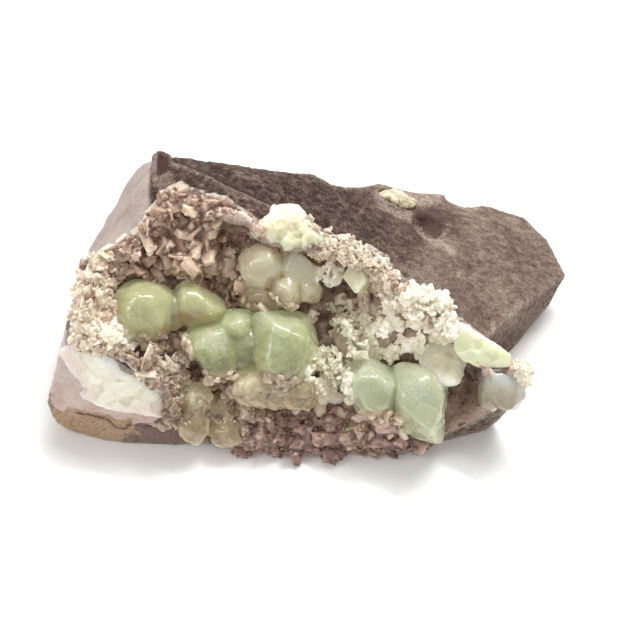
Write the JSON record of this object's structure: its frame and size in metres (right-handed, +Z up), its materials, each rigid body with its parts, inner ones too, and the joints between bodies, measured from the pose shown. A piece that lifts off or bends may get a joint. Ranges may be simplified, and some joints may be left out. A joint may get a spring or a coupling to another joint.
{
  "type": "mineral specimen",
  "caption": "Rough brown rock broken open on a druse-lined pocket that holds rounded pale green crystal balls, resting on its flat base.",
  "frame": {"origin": "middle of the footprint, on the surface that the specimen rests on", "axes": "+X along the specimen's length, +Y towards its back, +Z up"},
  "size_m": [0.1104, 0.0652, 0.0403],
  "materials": {
    "basalt": "rough broken brown basalt with a pale weathered bevel",
    "druse": "sparkling crust of small pinkish crystals",
    "green_prehnite": "translucent, waxy to glassy",
    "pale_prehnite": "cream to mint, translucent at thin edges",
    "milky_quartz": "milky, glassy"
  },
  "bodies": {
    "root": {"basalt_matrix": "basalt", "pocket_lining": "druse", "vein_broken_open": "pale_prehnite", "prehnite_rim_wedge": "green_prehnite", "quartz_ball_right": "milky_quartz", "cream_nodule_back": "pale_prehnite", "prehnite_left_pair": "green_prehnite", "prehnite_centre_group": "green_prehnite", "prehnite_right_pair": "green_prehnite", "prehnite_upper_ball": "green_prehnite", "prehnite_cream_crown": "pale_prehnite", "prehnite_small_bud": "green_prehnite", "milky_lobes_centre": "milky_quartz", "milky_knobs_left": "milky_quartz", "prehnite_fan": "pale_prehnite", "cream_horn_cluster": "pale_prehnite", "blocky_crystals_upper_left": "milky_quartz", "popcorn_crystals_right": "pale_prehnite", "mint_sprays_centre": "pale_prehnite", "white_crystals_upper": "pale_prehnite", "pink_knobs_front_left": "druse", "pink_knobs_front_right": "druse"}
  },
  "joints": []
}
